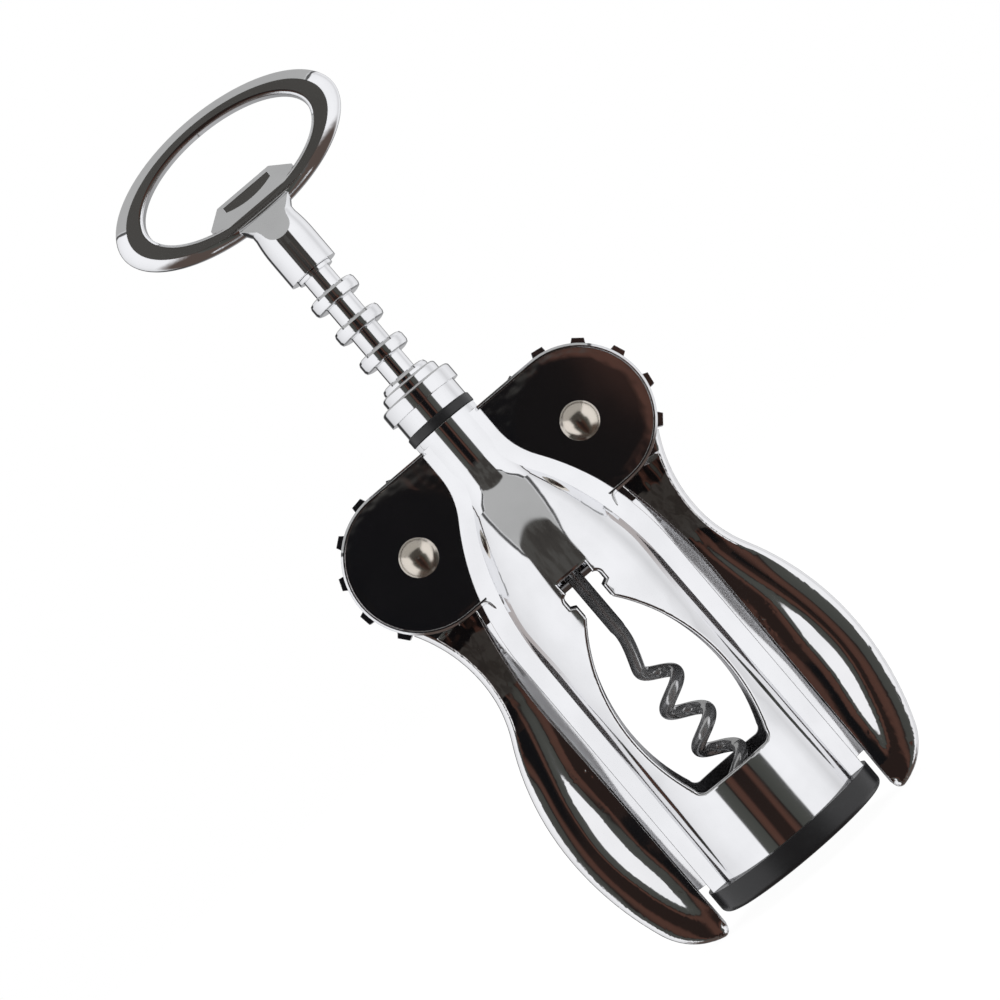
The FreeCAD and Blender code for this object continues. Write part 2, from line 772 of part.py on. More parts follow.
def neck_cap():
    """Stepped cap. Its spigot passes through the washer into the neck and guides the rack."""
    body = new_body("neck_cap")
    inner = d.rack_ring_radius + d.running_gap
    flange_z = cap_foot + d.cap_band_height
    step_z = flange_z + d.cap_flange_height
    turned(body, "PartDesign::Revolution", "cap", [
        (inner, neck_top - d.cap_spigot_length),
        (d.cap_spigot_radius, neck_top - d.cap_spigot_length),
        (d.cap_spigot_radius, cap_foot),
        (d.cap_band_radius, cap_foot),
        (d.cap_band_radius, flange_z),
        (d.cap_flange_radius, flange_z),
        (d.cap_flange_radius, step_z),
        (d.cap_step_radius, step_z),
        (d.cap_step_radius, cap_top),
        (inner, cap_top),
    ])
    flange, step = d.cap_flange_radius.number, d.cap_step_radius.number
    top, shelf = cap_top.number, step_z.number

    def upper_edge(p):
        reach = math.hypot(p.x, p.y)
        on_flange = abs(reach - flange) < 0.01 and abs(p.z - shelf) < 0.01
        return on_flange or (abs(reach - step) < 0.01 and abs(p.z - top) < 0.01)
    dress(body, "PartDesign::Fillet", "cap_round", d.cap_round, upper_edge)


def rivet(label, side):
    """Domed rivet through the cheeks and the pinion, headed at both ends."""
    body = new_body(label)
    dome = (d.rivet_head_radius * d.rivet_head_radius + d.rivet_head_height * d.rivet_head_height) / (
        2 * d.rivet_head_height)
    turned(body, "PartDesign::Revolution", f"{label}_turning", [
        (0, -ear_face - d.rivet_head_height),
        (d.rivet_head_radius, -ear_face, dome, 1),
        (d.rivet_radius, -ear_face),
        (d.rivet_radius, ear_face),
        (d.rivet_head_radius, ear_face),
        (0, ear_face + d.rivet_head_height, dome, 1),
    ])
    body.Placement = Placement(Vector(), Rotation(Vector(1, 0, 0), 90))
    bind(body, "Placement.Base.x", side * d.pivot_reach)
    bind(body, "Placement.Base.z", d.pivot_z)


# ---------------------------------------------------------------------------------------------------
# Rack and wings
# ---------------------------------------------------------------------------------------------------

rack_foot = d.rack_top_ring_z - (d.rack_rings - 1) * d.rack_pitch - d.rack_ring_width / 2


def rack():
    """Round rack: a bored core with rings at the pitch, so it meshes at any turn of the handle."""
    body = new_body("rack")
    top = d.socket_z - d.running_gap
    half = d.rack_ring_width / 2
    bevel = d.rack_ring_round
    bore = d.rod_radius + d.running_gap
    turned(body, "PartDesign::Revolution", "rack_core", [
        (bore, rack_foot),
        (d.rack_core_radius, rack_foot),
        (d.rack_core_radius, top - d.rack_collar_height),
        (d.rack_collar_radius, top - d.rack_collar_height),
        (d.rack_collar_radius, top),
        (bore, top),
    ])
    ring_z, core, rim = d.rack_top_ring_z, d.rack_core_radius, d.rack_ring_radius
    near, far = bevel * 0.3, bevel
    ring = turned(body, "PartDesign::Revolution", "rack_ring", [
        (core - 0.3, ring_z - half),
        (rim - far, ring_z - half),
        (rim - near, ring_z - half + near),
        (rim, ring_z - half + far),
        (rim, ring_z + half - far),
        (rim - near, ring_z + half - near),
        (rim - far, ring_z + half),
        (core - 0.3, ring_z + half),
    ])
    rings = body.newObject("PartDesign::LinearPattern", "rack_rings_pattern")
    rings.Originals = [ring]
    axis = [f for f in body.Origin.OriginFeatures if f.Role == "Z_Axis"][0]
    rings.Direction = (axis, [""])
    rings.Reversed = True
    bind(rings, "Length", (d.rack_rings - 1) * d.rack_pitch)
    bind(rings, "Occurrences", d.rack_rings)
    body.Tip = rings


def tooth_turn():
    """Angle of the tooth, in degrees above the horizontal, that stands in the middle of a gap at rest."""
    gap_steps = math.floor((d.rack_top_ring_z.number - d.pivot_z.number) / d.rack_pitch.number) - 0.5
    gap_z = d.rack_top_ring_z.number - gap_steps * d.rack_pitch.number
    return math.degrees((gap_z - d.pivot_z.number) / pinion_pitch_radius.number)


LEFT = -1


def left_wing():
    """A lever with its pinion, modelled about the pivot and hanging straight down."""
    body = new_body("left_wing")
    hub = draw_circle(new_sketch("hub_circle", "XZ_Plane", body), 0, 0, d.pinion_root_radius)
    feature(body, "PartDesign::Pad", "hub", hub, Length=2 * d.pinion_half_depth, Midplane=True)
    arm(body)
    teeth(body)
    hole = draw_circle(new_sketch("pivot_circle", "XZ_Plane", body), 0, 0,
                       d.rivet_radius + d.running_gap)
    feature(body, "PartDesign::Pocket", "pivot_hole", hole, Type="ThroughAll", Midplane=True)
    bind(body, "Placement.Base.x", LEFT * d.pivot_reach)
    bind(body, "Placement.Base.z", d.pivot_z)


def arm(body):
    """The lever's arm: its front outline, thinned to fit between the cheeks, hollowed and rounded."""
    waist_x, waist_z = d.wing_waist_out, -d.wing_waist_drop
    belly_x, belly_z = d.wing_belly_out, -d.wing_belly_drop
    join_x, join_z, swell = s_curve(belly_x, belly_z, waist_x, waist_z, d.wing_waist_hollow)
    shoulder_z = waist_z + d.wing_shoulder_radius / 2
    shoulder_x = waist_x + d.wing_shoulder_radius * (1 - math.sqrt(0.75))
    tip_z = -d.wing_tip_drop
    low_x, low_z = belly_x - d.wing_tip_run, tip_z + d.wing_tip_rise
    inner, inner_top, heel = d.wing_inner_out, wing_inner_high, d.wing_heel_radius
    outline = [
        (inner_top, -d.wing_inner_top / 2),
        (shoulder_x - 3, -d.wing_inner_top / 2),
        (shoulder_x, shoulder_z),
        (waist_x, waist_z, d.wing_shoulder_radius, 1),
        (join_x, join_z, d.wing_waist_hollow, 1),
        (belly_x, belly_z, swell, -1),
        (low_x, low_z, tangent_radius(belly_x - low_x, belly_z - low_z), -1),
        (inner + heel * 0.56, tip_z + heel * 0.19, d.wing_tip_radius, -1),
        (inner - heel * 0.375, tip_z + heel * 1.06, heel, -1),
        (inner, -d.wing_inner_bend),
        (inner_top, -d.wing_inner_top, wing_inner_arc, 1),
    ]
    front = draw(new_sketch("arm_outline", "XZ_Plane", body), mirror_to(LEFT, outline))
    feature(body, "PartDesign::Pad", "arm", front, Length=2 * d.wing_half_depth, Midplane=True)
    for name, way in (("front", -1), ("back", 1)):
        side_view = draw(new_sketch(f"{name}_relief", "YZ_Plane", body), mirror_to(way, relief()))
        feature(body, "PartDesign::Pocket", f"{name}_thinned", side_view, Type="ThroughAll",
                Midplane=True)
    outermost, lowest = belly_x.number * 0.32, -(d.wing_tip_drop - heel * 1.19).number
    thin = d.pinion_half_depth.number * 0.98
    below = -slot_radius.number + 1

    def outer_edge(p):
        return abs(p.y) > thin and p.z < below and (LEFT * p.x > outermost or p.z < lowest)
    dress(body, "PartDesign::Fillet", "edge_round", d.wing_edge_round, outer_edge)
    channel(body)
    for name, way in (("front", -1), ("back", 1)):
        scoop(body, name, way)


def tangent_radius(run, rise):
    """Radius of the arc that leaves the vertical and is run away from it after rise."""
    return (run * run + rise * rise) / (2 * run)


def relief():
    """What is cut off the arm in side view: room for the cheeks above, and a taper to the tip."""
    thin, thick = d.pinion_half_depth, d.wing_half_depth
    step_z, full_z = -(slot_radius + 0.6), -d.wing_full_drop
    join_y, join_z, swell = s_curve(thick, full_z, thin, step_z, d.wing_relief_hollow)
    belly_z, tip_z = -d.wing_belly_drop, -d.wing_tip_drop - 2
    far, taper = thick * 2, d.wing_tip_taper
    return [
        (thick, full_z),
        (join_y, join_z, swell, 1),
        (thin, step_z, d.wing_relief_hollow, -1),
        (thin, 2 * slot_radius),
        (far, 2 * slot_radius),
        (far, tip_z),
        (thick - taper, tip_z),
        (thick, belly_z, tangent_radius(taper, belly_z - tip_z), 1),
    ]


def channel(body):
    """The arm's hollow inner side, which closes over the rail."""
    depth, foot_z = d.channel_depth, -d.wing_tip_drop + d.wing_solid_tip
    top_z = -slot_radius + 0.3
    outline = [
        (as_size(-8), top_z),
        (as_size(-8), foot_z),
        (d.wing_inner_out + depth * 0.4, foot_z),
        (d.wing_inner_out + depth * 1.5, -d.wing_belly_drop),
        (d.wing_inner_out + depth * 0.5, -d.wing_waist_drop),
        (wing_inner_high + depth * 0.7, top_z),
    ]
    inside = draw(new_sketch("channel_outline", "XZ_Plane", body), mirror_to(LEFT, outline))
    feature(body, "PartDesign::Pocket", "channel", inside, Length=2 * d.channel_half_depth,
            Midplane=True)


def scoop(body, name, way):
    """A leaf-shaped hollow in the arm's face, turned about a line in front of it that leans outwards."""
    depth, half_width, half_length = d.scoop_depth, d.scoop_width / 2, d.scoop_length / 2
    radius = (half_width * half_width / depth + depth) / 2
    bulge = tangent_radius(depth, half_length)
    reach = half_length * 1.08
    end_radius = radius - bulge + (bulge * bulge - reach * reach).root()
    sketch = new_sketch(f"{name}_scoop_outline", "YZ_Plane", body)
    draw(sketch, [
        (0, -reach),
        (end_radius, -reach),
        (end_radius, reach, bulge, 1),
        (0, reach),
    ])
    sketch.AttachmentOffset = Placement(Vector(), Rotation(Vector(1, 0, 0), 1))
    bind(sketch, "AttachmentOffset.Rotation.Angle", LEFT * d.scoop_lean_degrees)
    bind(sketch, "AttachmentOffset.Base.x", way * (d.wing_half_depth + radius - depth))
    bind(sketch, "AttachmentOffset.Base.y", -d.scoop_drop)
    bind(sketch, "AttachmentOffset.Base.z", LEFT * d.scoop_out)
    feature(body, "PartDesign::Groove", f"{name}_scoop", sketch, ReferenceAxis=(sketch, ["V_Axis"]),
            Angle=360.0)


def teeth(body):
    """The pinion's teeth, all round the hub but for the part where the arm leaves it."""
    tip, root = d.tooth_tip_width / 2, d.tooth_root_width / 2
    inside = d.pinion_root_radius - 1
    angle = math.radians(tooth_turn())
    arm_teeth = 3
    count = int(d.pinion_teeth.number) - arm_teeth
    step = 2 * math.pi / d.pinion_teeth.number
    sketch = new_sketch("teeth_outline", "XZ_Plane", body)
    for i in range(count):
        turn = angle + (i - 1) * step
        along = (-LEFT * math.cos(turn), math.sin(turn))
        across = (along[1], -along[0])

        def spot(out, over):
            return (out * along[0] + over * across[0], out * along[1] + over * across[1])
        draw(sketch, [
            spot(inside, -root),
            spot(d.pinion_root_radius, -root),
            spot(d.pinion_tip_radius, -tip),
            spot(d.pinion_tip_radius, tip),
            spot(d.pinion_root_radius, root),
            spot(inside, root),
        ])
    feature(body, "PartDesign::Pad", "teeth", sketch, Length=2 * d.pinion_half_depth, Midplane=True)


def right_wing():
    """The other lever, which is a mirror of the left one, as the cast pair is."""
    made = doc.addObject("Part::Mirroring", "right_wing")
    made.Source = doc.getObject("left_wing")
    made.Normal = Vector(1, 0, 0)


# ---------------------------------------------------------------------------------------------------
# Handle and worm
# ---------------------------------------------------------------------------------------------------

def handle():
    """Oval ring with a rounded outside and flat faces, a cap lifter inside, and a neck with a socket."""
    body = new_body("handle")
    centre = d.handle_centre_z
    sections = []
    for name, place in (("front", -1), ("middle", 0), ("back", 1)):
        offset = place * d.handle_half_depth
        half_x = d.handle_half_width - abs(place) * d.handle_side_bevel
        half_z = d.handle_half_height - abs(place) * d.handle_top_bevel
        sketch = new_sketch(f"ring_{name}", "XZ_Plane", body, offset)
        sections.append(draw_ellipse(sketch, 0, centre, half_x, half_z))
    oval = body.newObject("PartDesign::AdditiveLoft", "ring_loft")
    oval.Profile = sections[0]
    oval.Sections = sections[1:]
    opening = draw_ellipse(new_sketch("ring_opening", "XZ_Plane", body), 0, centre, d.opening_half_width,
                           d.opening_half_height)
    feature(body, "PartDesign::Pocket", "opening", opening, Type="ThroughAll", Midplane=True)
    reach, rise = d.opening_half_width.number + 0.2, d.opening_half_height.number + 0.2
    middle = centre.number
    dress(body, "PartDesign::Fillet", "ring_lip", d.handle_lip,
          lambda p: (p.x / reach) ** 2 + ((p.z - middle) / rise) ** 2 < 1)
    handle_neck(body)
    cap_lifter(body)
    grip = draw_circle(new_sketch("grip_circle", "XY_Plane", body, d.socket_z), 0, 0, d.rod_radius)
    feature(body, "PartDesign::Pocket", "rod_grip", grip, Length=d.rod_grip, Reversed=True)


def handle_neck(body):
    """The neck under the ring, round below and cut to a shield-shaped slope front and back."""
    top_z = d.handle_centre_z - d.opening_half_height - d.handle_root_height
    flare = d.handle_root_flare
    taper = tangent_radius(d.socket_radius - d.handle_neck_radius, d.handle_neck_z - d.socket_top_z)
    turned(body, "PartDesign::Revolution", "handle_neck", [
        (0, d.socket_z),
        (d.socket_radius, d.socket_z),
        (d.socket_radius, d.socket_top_z),
        (d.handle_neck_radius, d.handle_neck_z, taper, 1),
        (d.handle_neck_radius, top_z - flare * 1.4),
        (d.handle_neck_radius + flare, top_z),
        (0, top_z),
    ])
    face = web_half_depth
    for name, way in (("front", -1), ("back", 1)):
        wedge = mirror_to(way, [
            (face, d.shield_top_z),
            (d.shield_knee_half_depth, d.shield_knee_z),
            (d.socket_radius + 0.2, d.shield_foot_z, d.shield_hollow, 1),
            (d.socket_radius + 6, d.shield_foot_z),
            (d.socket_radius + 6, top_z + 1),
            (face, top_z + 1),
        ])
        cut = draw(new_sketch(f"shield_{name}", "YZ_Plane", body), wedge)
        feature(body, "PartDesign::Pocket", f"{name}_shield", cut, Type="ThroughAll", Midplane=True)


def cap_lifter(body):
    """A wedge across the bottom of the ring, hollowed in front."""
    opening_z = d.handle_centre_z - d.opening_half_height
    face = web_half_depth
    wide, top_z = d.lifter_half_width, d.lifter_top_z
    side_view = draw(new_sketch("lifter_side", "YZ_Plane", body), both_sides([
        (face, opening_z - d.handle_root_height / 2),
        (face, opening_z),
        (d.lifter_edge_half_depth, top_z),
    ]))
    feature(body, "PartDesign::Pad", "cap_lifter", side_view, Length=2 * d.lifter_foot_half_width,
            Midplane=True)
    corners = new_sketch("lifter_corners", "XZ_Plane", body)
    for side in (-1, 1):
        draw(corners, mirror_to(side, [
            (d.lifter_foot_half_width, d.lifter_foot_z),
            (d.lifter_foot_half_width, top_z),
            (wide, top_z),
        ]))
    feature(body, "PartDesign::Pocket", "lifter_sides", corners, Type="ThroughAll", Midplane=True)
    low_z, high_z, sag = d.lifter_foot_z, top_z - 0.8, d.lifter_hollow_sag
    half = wide - 0.9
    bend = tangent_radius(sag, half)
    outline = new_sketch("lifter_hollow_outline", "XZ_Plane", body, face)
    draw(outline, [
        (half, high_z),
        (-half, high_z),
        (-half, low_z + sag),
        (0, low_z, bend, 1),
        (half, low_z + sag, bend, 1),
    ])
    feature(body, "PartDesign::Pocket", "lifter_hollow", outline,
            Length=face - d.lifter_floor_half_depth)


def worm_spot(z):
    """The middle of the wire at a height: it leans off the axis, then winds down at full radius."""
    bend, full = d.helix_bend_z.number, d.helix_full_z.number
    part_way = min(max((bend - z) / (bend - full), 0), 1)
    out = d.helix_radius.number * part_way**2 * (3 - 2 * part_way)
    lead, soft = d.helix_lead_degrees.number, 22
    turn = 360 * (z - d.helix_right_z.number) / d.helix_pitch.number
    turn = lead - soft * math.log1p(math.exp((lead - turn) / soft))
    return Vector(out * math.cos(math.radians(turn)), out * math.sin(math.radians(turn)), z)


def ring(place, direction, radius):
    return Part.Wire([Part.Circle(place, direction, radius).toShape()])


def worm():
    """Rod, shoulder and helix in one piece of wire that thins to a point."""
    made = doc.addObject("Part::Feature", "worm")
    rod, wire = d.rod_radius.number, d.wire_radius.number
    top = (d.socket_z + d.rod_grip).number
    bend, tip = d.helix_bend_z.number, d.helix_tip_z.number
    point_top = tip + d.point_length.number
    step = d.helix_pitch.number / 12
    count = round((bend - tip) / step)
    spots = [worm_spot(bend - (bend - tip) * i / count) for i in range(count + 1)]
    curve = Part.BSplineCurve()
    curve.interpolate(spots, InitialTangent=Vector(0, 0, -1), FinalTangent=spots[-1] - spots[-2])
    split = curve.parameter(worm_spot(point_top))
    first, last = curve.FirstParameter, curve.LastParameter
    coil = Part.BRepOffsetAPI.MakePipeShell(Part.Wire([curve.toShape(first, split)]))
    coil.setFrenetMode(False)
    coil.add(ring(spots[0], Vector(0, 0, 1), wire))
    coil.build()
    coil.makeSolid()
    taper = []
    for i in range(7):
        at = split + (last - split) * i / 6
        radius = wire + (d.point_radius.number - wire) * (i / 6) ** 1.5
        taper.append(ring(curve.value(at), Vector(*curve.tangent(at)[0]), radius))
    point = Part.makeLoft(taper, True)
    shank = Part.makeCone(wire, rod, 1.0, Vector(0, 0, bend))
    shank = shank.fuse(Part.makeCylinder(rod, top - bend - 1.0, Vector(0, 0, bend + 1.0)))
    shoulder_z = (rack_foot - d.running_gap - d.shoulder_height).number
    shoulder = Part.makeCylinder(d.shoulder_radius.number, d.shoulder_height.number, Vector(0, 0, shoulder_z))
    made.Shape = shank.fuse([shoulder, coil.shape(), point])


bell_body()
base_ring()
neck_washer()
neck_cap()
rivet("left_rivet", -1)
rivet("right_rivet", 1)
rack()
left_wing()
right_wing()
handle()
worm()
doc.recompute()

# ---------------------------------------------------------------------------------------------------
# Checks and export
# ---------------------------------------------------------------------------------------------------

NODES = ["bell_body", "base_ring", "neck_washer", "neck_cap", "left_rivet", "right_rivet", "rack",
         "left_wing", "right_wing", "handle", "worm"]

for item in doc.Objects:
    if "Invalid" in item.State or "Error" in item.State:
        raise RuntimeError(f"{item.Name} failed: {item.State}")

os.makedirs(OUT, exist_ok=True)
for label in NODES:
    shape = doc.getObjectsByLabel(label)[0].Shape
    if shape.isNull() or not shape.isValid():
        raise RuntimeError(f"{label} has no valid shape")
    shape.exportStep(f"{OUT}/{label}.step")
    box = shape.BoundBox
    print(f"{label:12s} solids {len(shape.Solids)} volume {shape.Volume:9.1f} mm3 "
          f"x {box.XMin:7.2f} {box.XMax:7.2f} y {box.YMin:7.2f} {box.YMax:7.2f} z {box.ZMin:7.2f} {box.ZMax:7.2f}")
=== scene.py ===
# %% [markdown]
# # A wing corkscrew in chrome
# The corkscrew comes into Blender as eleven solid pieces that already have their real size and
# place. This lesson gives them their finishes, adds the small marks that the casting has, and then
# builds the studio that chrome needs in order to look like chrome.

# %% Load the model
import math
import bmesh
import bpy
from mathutils import Matrix, Vector
from mathutils.bvhtree import BVHTree


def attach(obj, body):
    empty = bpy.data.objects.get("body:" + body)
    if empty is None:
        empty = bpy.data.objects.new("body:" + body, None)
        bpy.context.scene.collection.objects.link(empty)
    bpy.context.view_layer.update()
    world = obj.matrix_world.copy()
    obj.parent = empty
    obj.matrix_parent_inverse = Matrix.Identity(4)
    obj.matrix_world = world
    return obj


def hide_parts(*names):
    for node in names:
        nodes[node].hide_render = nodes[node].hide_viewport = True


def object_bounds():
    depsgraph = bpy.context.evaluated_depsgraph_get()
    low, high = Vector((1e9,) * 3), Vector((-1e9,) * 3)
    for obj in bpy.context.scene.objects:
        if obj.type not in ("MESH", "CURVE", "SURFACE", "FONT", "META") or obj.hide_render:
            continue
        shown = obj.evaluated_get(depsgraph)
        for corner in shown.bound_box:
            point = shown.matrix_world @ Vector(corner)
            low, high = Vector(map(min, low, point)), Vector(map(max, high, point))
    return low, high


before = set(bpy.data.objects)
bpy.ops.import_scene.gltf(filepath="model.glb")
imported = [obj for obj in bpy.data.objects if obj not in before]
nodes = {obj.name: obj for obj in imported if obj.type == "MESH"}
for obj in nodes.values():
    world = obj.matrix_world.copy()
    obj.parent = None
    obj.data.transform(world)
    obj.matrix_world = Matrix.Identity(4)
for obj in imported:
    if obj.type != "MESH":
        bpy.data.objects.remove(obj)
cad_box = [list(corner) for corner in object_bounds()]
for name, node in sorted(nodes.items()):
    print(name, "has", len(node.data.polygons), "faces")

# %% [markdown]
# A material here is a small network of nodes. Most of the networks are sums, so the first tool is
# one that adds a Math node and wires up its inputs. It takes plain numbers and sockets alike, which
# keeps a formula short to write.

# %% A helper for networks of nodes
MM = 0.001


class Network:
    """The nodes of one material, or of the world."""

    def __init__(self, tree):
        self.tree = tree
        tree.nodes.clear()

    def node(self, kind, **settings):
        made = self.tree.nodes.new(kind)
        for key, value in settings.items():
            setattr(made, key, value)
        return made

    def wire(self, value, socket):
        """A socket is linked, and a number or a colour is set."""
        if isinstance(value, bpy.types.NodeSocket):
            self.tree.links.new(value, socket)
        else:
            socket.default_value = value

    def math(self, operation, *values):
        made = self.node("ShaderNodeMath", operation=operation)
        for value, socket in zip(values, made.inputs):
            self.wire(value, socket)
        return made.outputs[0]

    def mix(self, factor, first, second, blend="MIX"):
        made = self.node("ShaderNodeMix", data_type="RGBA", blend_type=blend)
        self.wire(factor, made.inputs[0])
        self.wire(first, made.inputs[6])
        self.wire(second, made.inputs[7])
        return made.outputs[2]

    def ramp(self, value, stops):
        """Straight steps from colour to colour, each at its own place between 0 and 1."""
        made = self.node("ShaderNodeValToRGB")
        for place, colour in stops[1:-1]:
            made.color_ramp.elements.new(place)
        for element, (place, colour) in zip(made.color_ramp.elements, stops):
            element.position = place
            element.color = (*colour, 1)
        self.wire(value, made.inputs[0])
        return made.outputs[0]

    def step(self, value, low, high):
        """0 where the value is below low, 1 above high, and smooth between."""
        made = self.node("ShaderNodeMapRange", interpolation_type="SMOOTHSTEP")
        self.wire(value, made.inputs[0])
        made.inputs[1].default_value = low
        made.inputs[2].default_value = high
        return made.outputs[0]

    def noise(self, vector, scale, detail, roughness=0.5):
        made = self.node("ShaderNodeTexNoise")
        self.wire(vector, made.inputs["Vector"])
        made.inputs["Scale"].default_value = scale
        made.inputs["Detail"].default_value = detail
        made.inputs["Roughness"].default_value = roughness
        return made.outputs[0]

    def place(self, stretch=(1, 1, 1), shift=(0, 0, 0)):
        """Object coordinates in metres, stretched along each axis."""
        mapping = self.node("ShaderNodeMapping")
        coordinates = self.node("ShaderNodeTexCoord")
        self.wire(coordinates.outputs["Object"], mapping.inputs["Vector"])
        mapping.inputs["Scale"].default_value = stretch
        mapping.inputs["Location"].default_value = shift
        return mapping.outputs[0]

    def bump(self, height, distance, under):
        """The normal of a surface that has this height on top of the normal under it."""
        made = self.node("ShaderNodeBump")
        made.inputs["Distance"].default_value = distance
        self.wire(height, made.inputs["Height"])
        self.wire(under, made.inputs["Normal"])
        return made.outputs[0]


def new_finish(name):
    """A material and its network."""
    material = bpy.data.materials.new(name)
    material.use_nodes = True
    return material, Network(material.node_tree)


# %% [markdown]
# Chrome on a die-casting is a mirror, but not a perfect one. Under the plating the cast surface
# waves a little, over a centimetre or so, and that bends every reflection. Handling leaves a haze
# of fine scratches, which shows as a slightly higher roughness in patches. Both could be painted,
# but noise on the Object coordinates needs no picture and follows each piece from any side. The
# sharp edges of a casting are really rounded by a tenth of a millimetre or two, and a Bevel node
# shades them so without touching the mesh.

# %% The metal finishes
EDGE_ROUNDING = 0.15 * MM


def metal(name, colour, roughness, wave, wave_size, streak=1.0, haze=0.05, metallic=1.0, casting=None):
    """A polished metal. wave is the height of its waves in mm, and streak stretches them along Z.

    casting may add to the normal, and says where the metal has painted shade, with the darker colour
    painted there and the roughness it adds there.
    """
    material, net = new_finish(name)
    surface = net.node("ShaderNodeBsdfPrincipled")
    output = net.node("ShaderNodeOutputMaterial")
    surface.inputs["Metallic"].default_value = metallic
    patches = net.noise(net.place(), 90, 3.0)
    wear = net.noise(net.place(shift=(0.3, 0.1, 0.2)), 900, 2.0)
    tint = net.mix(net.step(patches, 0.35, 0.7), (*colour, 1), (*[c * 0.94 for c in colour], 1))
    hazy = net.math("MULTIPLY_ADD", net.step(patches, 0.42, 0.75), haze, roughness)
    hazy = net.math("MULTIPLY_ADD", wear, haze * 0.4, hazy)
    rounded = net.node("ShaderNodeBevel", samples=4)
    rounded.inputs["Radius"].default_value = EDGE_ROUNDING
    waves = net.noise(net.place((1, 1, 1 / streak)), 1000 / wave_size, 1.0)
    normal = net.bump(waves, wave * MM, rounded.outputs[0])
    if casting:
        normal, painted_shade_mask, painted_shade_colour, rough = casting(net, normal)
        tint = net.mix(painted_shade_mask, tint, (*painted_shade_colour, 1))
        hazy = net.math("ADD", rough, hazy)
    net.wire(tint, surface.inputs["Base Color"])
    net.wire(hazy, surface.inputs["Roughness"])
    net.wire(normal, surface.inputs["Normal"])
    net.wire(surface.outputs[0], output.inputs["Surface"])
    return material


# %% [markdown]
# Two of the castings aren't the same all over. On the body, polishing has rounded the flat cheeks
# off a little towards their rims, and the rails behind the wings are only brushed. The inside of the
# bell is rougher and is painted a darker grey, which is painted shade. On the wings, the inner edge is
# hard to reach with a polishing wheel, so it is rougher, and the waist is painted darker and browner,
# which is painted shade as well. The body's places are simple, so the Object coordinates find them.
# The wings' ones follow the shape, so they are attributes of the mesh, which the dressed wings get
# further down.

# %% Where the castings differ
PIVOT = (21.0 * MM, 93.6 * MM)  # across and up
CHEEK_FACE = 4.8 * MM  # in front of the middle
CHEEK_FLAT = 13.6 * MM  # the radius at which the fall starts
CHEEK_EDGE = 1.7 * MM  # the width over which it gets steeper
CHEEK_FALL = 10.0
INSIDE_RADIUS = 16.0 * MM
INSIDE_TOP = 70.9 * MM
RAIL_SIDE = 19.55 * MM
RAIL_TOP = 78.0 * MM
RAIL_HALF_DEPTH = 4.3 * MM


def spot_on(net):
    """The three Object coordinates of a point, in metres."""
    spot = net.node("ShaderNodeSeparateXYZ")
    net.wire(net.place(), spot.inputs[0])
    return spot.outputs


def squared(net, value):
    return net.math("MULTIPLY", value, value)


def distance(net, across, along):
    return net.math("SQRT", net.math("ADD", squared(net, across), squared(net, along)))


def above(net, value, low):
    """How far a value lies above another, and 0 below it."""
    return net.math("MAXIMUM", net.math("SUBTRACT", value, low), 0.0)


def cheek_fall(net, x, y, z):
    """The height that polishing took off a cheek: more and more past its flat, then even to the rim."""
    out = net.math("SUBTRACT", net.math("ABSOLUTE", x), PIVOT[0])
    rise = net.math("SUBTRACT", z, PIVOT[1])
    uneven = net.noise(net.place(shift=(0.2, 0, 0.1)), 150, 2.0)
    past = net.math("ADD", distance(net, out, rise), net.math("MULTIPLY", uneven, 3.0 * MM))
    past = above(net, past, CHEEK_FLAT)
    fall = net.math("MULTIPLY", squared(net, past), -CHEEK_FALL)
    back = net.math("MULTIPLY", squared(net, above(net, past, CHEEK_EDGE)), CHEEK_FALL)
    off_face = net.math("ABSOLUTE", net.math("SUBTRACT", net.math("ABSOLUTE", y), CHEEK_FACE))
    on_cheek = net.math("SUBTRACT", 1.0, net.step(off_face, 0.02 * MM, 0.05 * MM))
    return net.math("MULTIPLY", net.math("ADD", fall, back), on_cheek)


def body_casting(net, normal):
    """The body's cheeks are rounded off, its rails are brushed, and its inside is rougher and has painted
    shade.
    """
    x, y, z = spot_on(net)
    normal = net.bump(cheek_fall(net, x, y, z), 1.0, normal)
    in_wall = net.step(distance(net, x, y), INSIDE_RADIUS, INSIDE_RADIUS + 0.3 * MM)
    over_top = net.step(z, INSIDE_TOP, INSIDE_TOP + 0.3 * MM)
    inside = net.math("MULTIPLY", net.math("SUBTRACT", 1.0, in_wall), net.math("SUBTRACT", 1.0, over_top))
    beyond = net.math("SUBTRACT", net.math("ABSOLUTE", x), RAIL_SIDE)
    below = net.step(z, RAIL_TOP, RAIL_TOP - 0.2 * MM)
    between = net.step(net.math("ABSOLUTE", y), RAIL_HALF_DEPTH, RAIL_HALF_DEPTH - 0.1 * MM)
    on_rail = net.math("MULTIPLY", net.math("MULTIPLY", net.step(beyond, 0.0, 0.1 * MM), below), between)
    rough = net.math("MULTIPLY_ADD", on_rail, 0.14, net.math("MULTIPLY", inside, 0.15))
    # The inside of the bell gets a darker grey colour, which is painted shade.
    return normal, inside, (0.40, 0.40, 0.41), rough


def wing_casting(net, normal):
    """A wing's waist rolls a little and has painted shade, darker and browner, and its inner edge is rough.
    """
    waist = net.node("ShaderNodeAttribute", attribute_name="waist").outputs["Fac"]
    rolls = net.noise(net.place((1, 1, 0.6), (0, 0.3, 0)), 210, 2.0)
    normal = net.bump(net.math("MULTIPLY", rolls, waist), 0.55 * MM, normal)
    edge = net.node("ShaderNodeAttribute", attribute_name="inner_edge").outputs["Fac"]
    # The waist gets a darker, browner colour, which is painted shade.
    return normal, waist, (0.46, 0.42, 0.405), net.math("MULTIPLY", edge, 0.38)


# %% [markdown]
# Three of the five metals are the same plating on different castings, so they share its colour, or
# nearly so. The rivets are nickel, which is warmer and was only brushed. The worm is hardened steel
# with a dark finish. Its metallic value is under 1, because the oxide on it isn't a mirror, and the
# part that scatters keeps the worm from going black inside the dark bell.

